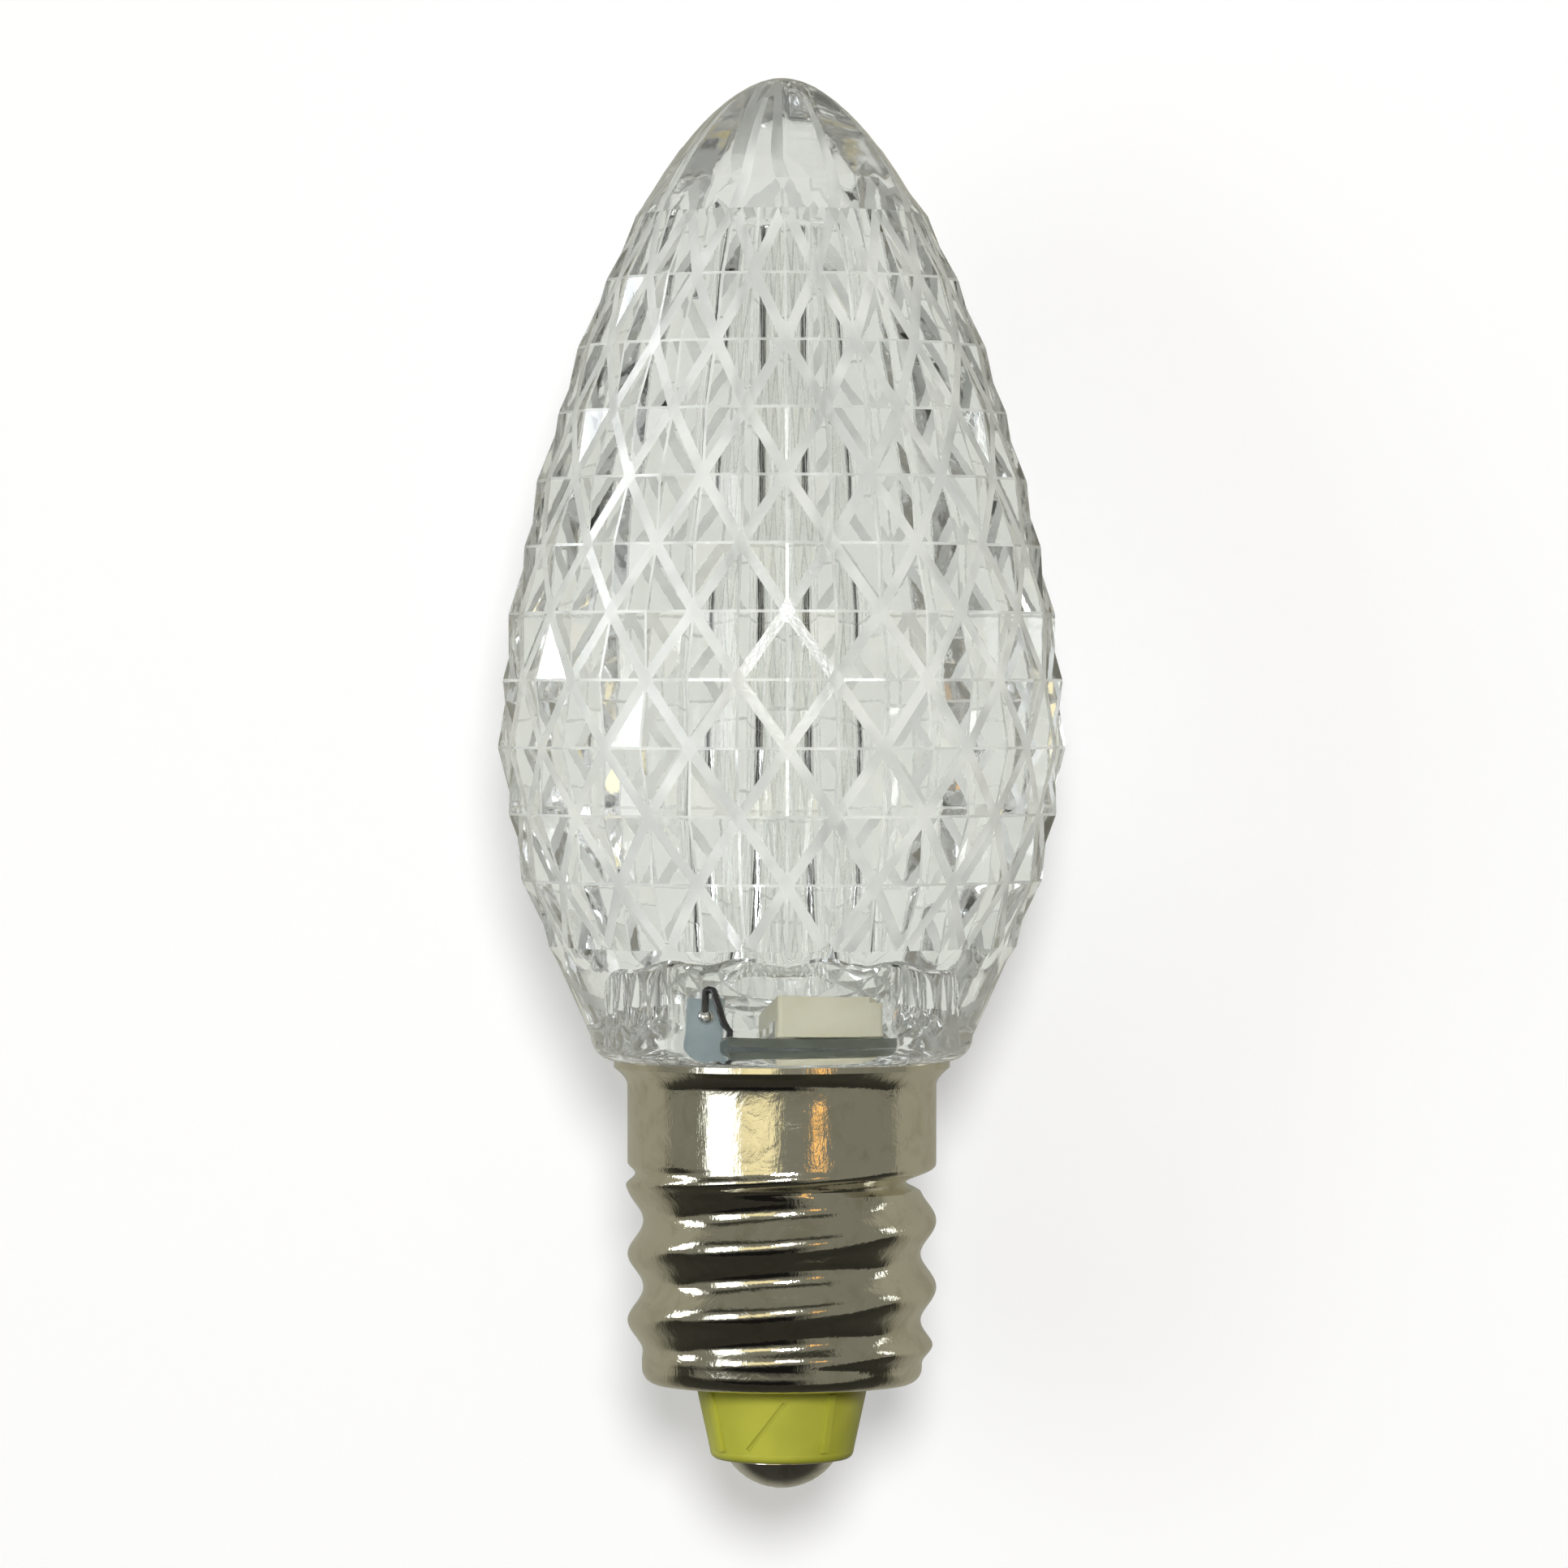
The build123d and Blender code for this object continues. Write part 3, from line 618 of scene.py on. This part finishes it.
# smooth tip with broad long panes that run out towards the crown
def makeTip(build, last):
    half = math.pi / lens["tipPanes"]
    middle = math.radians(lens["facetPhase"] + 180 / len(last))
    heights = [last[0].z + rise for rise in lens["tipRises"]]
    heights += [lens["tipLine"] - lens["tipLineHalf"], lens["tipLine"] + lens["tipLineHalf"]]
    heights += [lens["tipHeight"] - drop for drop in lens["tipDrops"]]
    turns = [math.atan2(p.y, p.x) for p in last]
    span = len(last) // lens["tipPanes"]
    for index, height in enumerate(heights):
        settle = min(1.0, (index + 1) / lens["settleRings"])
        pane = lens["paneShare"] * settle * min(1.0, (lens["tipHeight"] - height) / lens["paneFade"])
        radius = lensRadius(height) - (lens["tipStep"] if height > lens["tipLine"] else 0.0)
        ring = []
        for turn, even in zip(turns, evenTurns(len(last))):
            angle = settled(turn, even, settle)
            across = (angle - middle + half) % (2 * half) - half
            reach = radius * (1 - pane * (1 - math.cos(half) / math.cos(across)))
            ring.append(Vector((reach * math.cos(angle), reach * math.sin(angle), height)))
        first = len(build.faces)
        build.strip(last, ring)
        build.soft += range(first, len(build.faces))
        if height < lens["crownLine"]:
            borders = [n for n in range(len(ring)) if n % span == span // 2]
            build.edges += [first + n for n in borders]
        last = ring
    build.fan(last, Vector((0, 0, lens["tipHeight"])))


def makeLens():
    build = Builder()
    foot, crown = makeLattice(build)
    makeTip(build, crown)
    closeFoot(build, foot)
    piece = makeObject("facetedLens", build, clearPlastic, "lens_cover")
    finishPiece(piece, lens["sharpAngle"])
    piece.data.materials.append(frostedEdgeAndHighlight)
    piece.data.materials.append(softPlastic)
    for face in piece.data.polygons[: build.flats]:
        face.use_smooth = False
    for slot, indices in ((2, build.soft), (1, build.edges)):  # edges last, they lie on the tip as well
        for index in indices:
            piece.data.polygons[index].material_index = slot


# even steps through a quarter turn, as cosine and sine
def quarterTurn(steps):
    angles = [math.radians(90 * n / steps) for n in range(1, steps + 1)]
    return [(math.cos(angle), math.sin(angle)) for angle in angles]


# conical neck, rounded shoulder, spigot, chamber and bore
def closeFoot(build, edge):
    foot, bend = lens["foot"], lens["shoulderRound"]
    last = edge
    start = edge[0].z
    turns = [math.atan2(p.y, p.x) for p in edge]
    wide = lensRadius(start) - lens["facetDepth"] / 2
    for n in range(1, lens["neckSteps"] + 1):
        share = n / lens["neckSteps"]
        height = start + (foot + bend - start) * share
        radius = wide + (lens["neckRadius"] - wide) * share
        ring = []
        for turn, even in zip(turns, evenTurns(len(edge))):
            angle = settled(turn, even, min(1.0, n / lens["settleRings"]))
            ring.append(Vector((radius * math.cos(angle), radius * math.sin(angle), height)))
        build.strip(ring, last)
        last = ring
    neck = last
    for cosine, sine in quarterTurn(lens["bendSteps"]):
        inset = bend * (1 - cosine)
        lift = Vector((0, 0, foot + bend - bend * sine))
        ring = [Vector((p.x, p.y, 0)) * (1 - inset / Vector(p.xy).length) + lift for p in neck]
        build.strip(ring, last)
        last = ring
    closeHollow(build, makeSeat(build, last))


# flat underside of the lens: from the neck's points in to the rounder ring of the spigot
def makeSeat(build, last):
    count = lens["roundCount"]
    seat = circlePoints(lens["spigotRadius"], lens["foot"], count, math.radians(lens["facetPhase"]))
    ratio = count // len(last)
    half = ratio // 2
    for n in range(len(last)):
        a, b = last[n], last[(n + 1) % len(last)]
        near = [seat[(n * ratio + k) % count] for k in range(ratio + 1)]
        for k in range(ratio):
            build.face([near[k], near[k + 1], a if k < half else b])
        build.face([near[half], b, a])
    return seat


# rings round the spigot, up the chamber and the bore, and the bore's flat end
def closeHollow(build, last):
    turn = math.radians(lens["facetPhase"])
    for radius, height in hollowProfile():
        ring = circlePoints(radius, height, lens["roundCount"], turn)
        build.strip(ring, last)
        last = ring
    top = Vector((0, 0, lens["boreTop"] + lens["boreDome"]))
    for n in range(len(last)):
        build.face([top, last[(n + 1) % len(last)], last[n]])


# radius and height of each of those rings, with the mark of the core's vent last
def hollowProfile():
    fillet, edge = lens["chamberFillet"], lens["boreEdge"]
    chamber, ceiling = lens["chamberRadius"], lens["chamberCeiling"]
    wide, narrow, top = lens["boreLow"], lens["boreHigh"], lens["boreTop"]
    profile = [(lens["spigotRadius"], lens["spigotFoot"]), (chamber, lens["spigotFoot"])]
    profile.append((chamber, ceiling - fillet))
    for cosine, sine in quarterTurn(lens["filletSteps"]):
        profile.append((chamber - fillet * (1 - cosine), ceiling - fillet * (1 - sine)))
    profile.append((wide, ceiling))
    for n in range(1, lens["boreSteps"] + 1):
        share = n / lens["boreSteps"]
        profile.append((wide + (narrow - wide) * share, ceiling + (top - edge - ceiling) * share))
    for cosine, sine in quarterTurn(lens["bendSteps"]):
        profile.append((narrow - edge * (1 - cosine), top - edge * (1 - sine)))
    mark, half = lens["boreMark"], lens["markHalf"]
    return profile + [(mark + half, top), (mark, top - lens["markDepth"]), (mark - half, top)]


# faces outward, smooth but for edges sharper than the angle
def finishPiece(piece, angle):
    work = bmesh.new()
    work.from_mesh(piece.data)
    bmesh.ops.recalc_face_normals(work, faces=work.faces)
    loose = [e for e in work.edges if not e.is_manifold]
    print(piece.name, "faces", len(work.faces), "open edges", len(loose))
    work.to_mesh(piece.data)
    work.free()
    piece.data.shade_smooth()
    piece.data.set_sharp_from_angle(angle=math.radians(angle))


makeLens()
print("lens made")

# rolled screw shell, in millimetres
shell = {
    "wall": 0.25,
    "rimRadius": 6.42,
    "rimTop": 16.35,
    "rimEdge": 16.1,
    "skirtTop": 15.4,
    "skirtFoot": 12.45,
    "skirtRadius": 5.9,
    "meanRadius": 5.6,
    "wave": 0.3,
    "pitch": 2.54,
    "crestAtRight": 7.69,
    "notchHeight": 11.8,
    "notchMean": 5.3,
    "notchWave": 0.72,
    "threadTop": 11.3,
    "threadFoot": 4.75,
    "fade": 0.9,
    "footRadius": 5.35,
    "footRound": 0.6,
    "foot": 4.0,
    "footHole": 3.05,
    "footSteps": 6,
    "skirtRows": (12.5, 13.2, 14.0, 14.8, 15.4),
    "flareSteps": 6,
    "lipRound": 0.03,
    "count": 180,
    "rowsATurn": 24,
    "sharpAngle": 35,
}


# one ring of the thread: a circle pushed off the axis towards the crest, further in the first groove
def threadRow(height, inset):
    s = shell
    fade = min(1.0, (height - s["threadFoot"]) / s["fade"])
    fade = fade * fade * (3 - 2 * fade)
    wave = s["wave"] * fade
    radius = s["footRadius"] + (s["meanRadius"] - s["footRadius"]) * fade
    if height > s["threadTop"]:
        below = height <= s["notchHeight"]
        if below:
            reach = (height - s["threadTop"]) / (s["notchHeight"] - s["threadTop"])
        else:
            reach = max(0.0, (s["skirtFoot"] - height) / (s["skirtFoot"] - s["notchHeight"]))
        reach = math.sin(reach * math.pi / 2) ** 2
        edgeWave, edgeRadius = (s["wave"], s["meanRadius"]) if below else (0.0, s["skirtRadius"])
        wave = edgeWave + (s["notchWave"] - edgeWave) * reach
        radius = edgeRadius + (s["notchMean"] - edgeRadius) * reach
    turn = 2 * math.pi * (height - s["crestAtRight"]) / s["pitch"]
    shift = Vector((wave * math.cos(turn), wave * math.sin(turn), 0))
    return [p + shift for p in shellRing(radius - inset, height)]


def shellRing(radius, height):
    return circlePoints(radius, height, shell["count"])


# rings up one side of the wall: curled foot, thread, skirt, flare and lip
def shellRows(inset):
    s = shell
    outer, bend, low = s["footRadius"] - inset, s["footRound"] - inset, s["foot"] + inset
    rows = [shellRing(outer - bend, low)]
    for cosine, sine in quarterTurn(s["footSteps"]):
        rows.append(shellRing(outer - bend + bend * sine, low + bend - bend * cosine))
    step = s["pitch"] / s["rowsATurn"]
    height = s["threadFoot"] + step / 2
    while height < s["skirtFoot"]:
        rows.append(threadRow(height, inset))
        height += step
    rows += [shellRing(s["skirtRadius"] - inset, height) for height in s["skirtRows"]]
    flare = s["rimEdge"] - s["skirtTop"]
    for n in range(1, s["flareSteps"] + 1):
        share = n / s["flareSteps"]
        spread = (s["rimRadius"] - s["skirtRadius"]) * (1 - math.cos(share * math.pi / 2))
        rows.append(shellRing(s["skirtRadius"] + spread - inset, s["skirtTop"] + flare * share))
    rim = s["rimRadius"] - inset
    rows.append(shellRing(rim, s["rimTop"] - s["lipRound"]))
    rows.append(shellRing(rim - s["lipRound"], s["rimTop"]))
    return rows


def makeShell():
    build = Builder()
    outer, inner = shellRows(0.0), shellRows(shell["wall"])
    for low, high in zip(outer, outer[1:]):
        build.strip(low, high)
    for low, high in zip(inner, inner[1:]):
        build.strip(high, low)
    holeLow = shellRing(shell["footHole"], shell["foot"])
    holeHigh = shellRing(shell["footHole"], shell["foot"] + shell["wall"])
    build.strip(holeLow, outer[0])
    build.strip(holeHigh, holeLow)
    build.strip(inner[0], holeHigh)
    build.strip(outer[-1], inner[-1])
    piece = makeObject("rolledShell", build, looks["nickelPlate"], "screw_shell")
    finishPiece(piece, shell["sharpAngle"])


makeShell()
print("shell made")

# the solids that stay visible
solidSharpAngle = 30
for name in nodeLooks:
    if not nodes[name].hide_render:
        nodes[name].data.shade_smooth()
        nodes[name].data.set_sharp_from_angle(angle=math.radians(solidSharpAngle))

# backdrop sheet behind the bulb that sweeps forward to a floor under it, in metres
stageSetup = {
    "behind": 0.0135,
    "floor": -0.05,
    "bend": 0.03,
    "bendSteps": 12,
    "half": 0.35,
    "top": 0.35,
    "front": -0.05,
    "seenByCamera": (0.93, 0.93, 0.95),
    "seenByMetal": (0.38, 0.37, 0.31),
    "seenByGlass": (0.46, 0.47, 0.44),
    "glowInCamera": (1.0, 1.0, 1.0),
    "glowInGlass": (0.94, 0.955, 0.9),
    "glowShares": (0.34, 0.3, 0.38),  # for the camera, metal and glass
    "sideShadeSpan": (0.017, 0.08),  # painted shade to either side of the bulb, for glass
    "sideShadeTone": 0.06,
    "lowShadeSpan": (-0.03, 0.002),  # heights of the painted shade low down, for metal
    "lowShadeTone": 0.12,
}


def makeStage():
    s = stageSetup
    profile = [(s["behind"], s["top"]), (s["behind"], s["floor"] + s["bend"])]
    for cosine, sine in quarterTurn(s["bendSteps"]):
        profile.append((s["behind"] - s["bend"] * (1 - cosine), s["floor"] + s["bend"] * (1 - sine)))
    profile.append((s["front"], s["floor"]))
    verts = [(x, y, z) for y, z in profile for x in (-s["half"], s["half"])]
    faces = [(2 * n, 2 * n + 2, 2 * n + 3, 2 * n + 1) for n in range(len(profile) - 1)]
    mesh = bpy.data.meshes.new("paperSweep")
    mesh.from_pydata(verts, [], faces)
    mesh.shade_smooth()
    sweep = bpy.data.objects.new("paperSweep", mesh)
    bpy.context.scene.collection.objects.link(sweep)
    mesh.materials.append(paperMaterial())


# lit paper with a little glow: glass sees it fade to the sides and metal sees it darker low down,
# both painted shade on the paper, and from behind it is clear
def paperMaterial():
    material = bpy.data.materials.new("paper")
    material.use_nodes = True
    tree = material.node_tree
    out = tree.nodes["Material Output"]
    tree.nodes.remove(tree.nodes["Principled BSDF"])
    path = addNode(tree, "ShaderNodeLightPath")
    kinds = ("Camera", "Glossy", "Transmission")
    byCamera, byMetal, byGlass = (path.outputs[f"Is {kind} Ray"] for kind in kinds)
    place = addNode(tree, "ShaderNodeTexCoord")
    split = addNode(tree, "ShaderNodeSeparateXYZ")
    tree.links.new(place.outputs["Object"], split.inputs[0])
    away = maths(tree, "ABSOLUTE", split.outputs["X"])
    # painted shade: the paper darkens to the sides for glass and low down for metal
    fade = remap(tree, away, *stageSetup["sideShadeSpan"], 1.0, stageSetup["sideShadeTone"])
    lower = remap(tree, split.outputs["Z"], *stageSetup["lowShadeSpan"], stageSetup["lowShadeTone"], 1.0)
    inMetal = mixColour(tree, lower, (0, 0, 0), stageSetup["seenByMetal"])
    tones = []
    for inGlass, inCamera in (("seenByGlass", "seenByCamera"), ("glowInGlass", "glowInCamera")):
        tone = mixColour(tree, byGlass, inMetal, mixColour(tree, fade, (0, 0, 0), stageSetup[inGlass]))
        tones.append(mixColour(tree, byCamera, tone, stageSetup[inCamera]))
    lit = addNode(tree, "ShaderNodeBsdfDiffuse")
    shining = addNode(tree, "ShaderNodeEmission")
    glowing = 0.0
    for kind, share in zip((byCamera, byMetal, byGlass), stageSetup["glowShares"]):
        glowing = maths(tree, "ADD", maths(tree, "MULTIPLY", kind, share), glowing)
    glow = addNode(tree, "ShaderNodeMixShader")
    side = addNode(tree, "ShaderNodeNewGeometry")
    clear = addNode(tree, "ShaderNodeBsdfTransparent")
    last = addNode(tree, "ShaderNodeMixShader")
    tree.links.new(tones[0], lit.inputs["Color"])
    tree.links.new(tones[1], shining.inputs["Color"])
    tree.links.new(glowing, glow.inputs[0])
    tree.links.new(lit.outputs[0], glow.inputs[1])
    tree.links.new(shining.outputs[0], glow.inputs[2])
    tree.links.new(side.outputs["Backfacing"], last.inputs[0])
    tree.links.new(glow.outputs[0], last.inputs[1])
    tree.links.new(clear.outputs[0], last.inputs[2])
    tree.links.new(last.outputs[0], out.inputs["Surface"])
    return material


makeStage()

# studio round the bulb, in degrees: first the azimuth, 0 on the camera's side and minus to its left,
# then the height; a card's colour carries its strength
roomTone = (0.25, 0.245, 0.21)
studioCards = (
    {"at": (-98, 24), "half": (14, 12), "soft": 3.0, "colour": (13.0, 13.6, 14.2)},
    {"at": (104, 22), "half": (12, 12), "soft": 3.0, "colour": (11.0, 11.5, 12.0)},
    {"at": (-46, 4), "half": (11, 15), "soft": 4.0, "colour": (3.2, 3.35, 3.5)},
    {"at": (-19, 2), "half": (15, 9), "soft": 4.0, "colour": (1.25, 1.12, 0.72)},
    {"at": (27, 0), "half": (3, 5), "soft": 2.5, "colour": (2.0, 1.1, 0.35)},
    {"at": (-15, 40), "half": (60, 7), "soft": 5.0, "colour": (0.05, 0.05, 0.04)},
    {"at": (-50, -40), "half": (72, 22), "soft": 13.0, "colour": (0.01, 0.01, 0.01)},
)


def makeWorld():
    world = bpy.data.worlds.new("studio")
    bpy.context.scene.world = world
    world.use_nodes = True
    tree = world.node_tree
    background = tree.nodes["Background"]
    path = addNode(tree, "ShaderNodeLightPath")
    way = addNode(tree, "ShaderNodeTexCoord")
    split = addNode(tree, "ShaderNodeSeparateXYZ")
    tree.links.new(way.outputs["Generated"], split.inputs[0])
    front = maths(tree, "MULTIPLY", split.outputs["Y"], -1.0)
    azimuth = maths(tree, "ARCTAN2", split.outputs["X"], front)
    height = maths(tree, "ARCSINE", split.outputs["Z"])
    colour = None
    for card in studioCards:
        masks = []
        for angle, centre, half in zip((azimuth, height), card["at"], card["half"]):
            away = maths(tree, "ABSOLUTE", maths(tree, "SUBTRACT", angle, math.radians(centre)))
            edge = math.radians(half)
            soft = math.radians(card["soft"])
            masks.append(remap(tree, away, edge - soft, edge + soft, 1.0, 0.0))
        mask = maths(tree, "MULTIPLY", masks[0], masks[1])
        colour = mixColour(tree, mask, colour if colour is not None else roomTone, card["colour"])
    seen = mixColour(tree, path.outputs["Is Camera Ray"], colour, (1, 1, 1))  # white for the camera
    tree.links.new(seen, background.inputs["Color"])
    background.inputs["Strength"].default_value = 1.0


makeWorld()

# one soft lamp over the camera casts the shadow on the paper
lampSetup = {"at": (0.015, -0.5, 0.125), "aim": (0, 0, 0.027), "size": 0.1, "power": 1.95}


def makeLamp():
    data = bpy.data.lights.new("softLamp", "AREA")
    data.shape = "DISK"
    data.size = lampSetup["size"]
    data.energy = lampSetup["power"]
    lamp = bpy.data.objects.new("softLamp", data)
    bpy.context.scene.collection.objects.link(lamp)
    lamp.location = lampSetup["at"]
    lamp.rotation_mode = "QUATERNION"
    lamp.rotation_quaternion = (Vector(lampSetup["aim"]) - lamp.location).to_track_quat("-Z", "Y")


makeLamp()

scene = bpy.context.scene
scene.view_settings.view_transform = "Standard"
scene.cycles.max_bounces = 24  # light crosses many facets
scene.cycles.transmission_bounces = 24
scene.cycles.glossy_bounces = 10
scene.cycles.diffuse_bounces = 4
print("studio set")
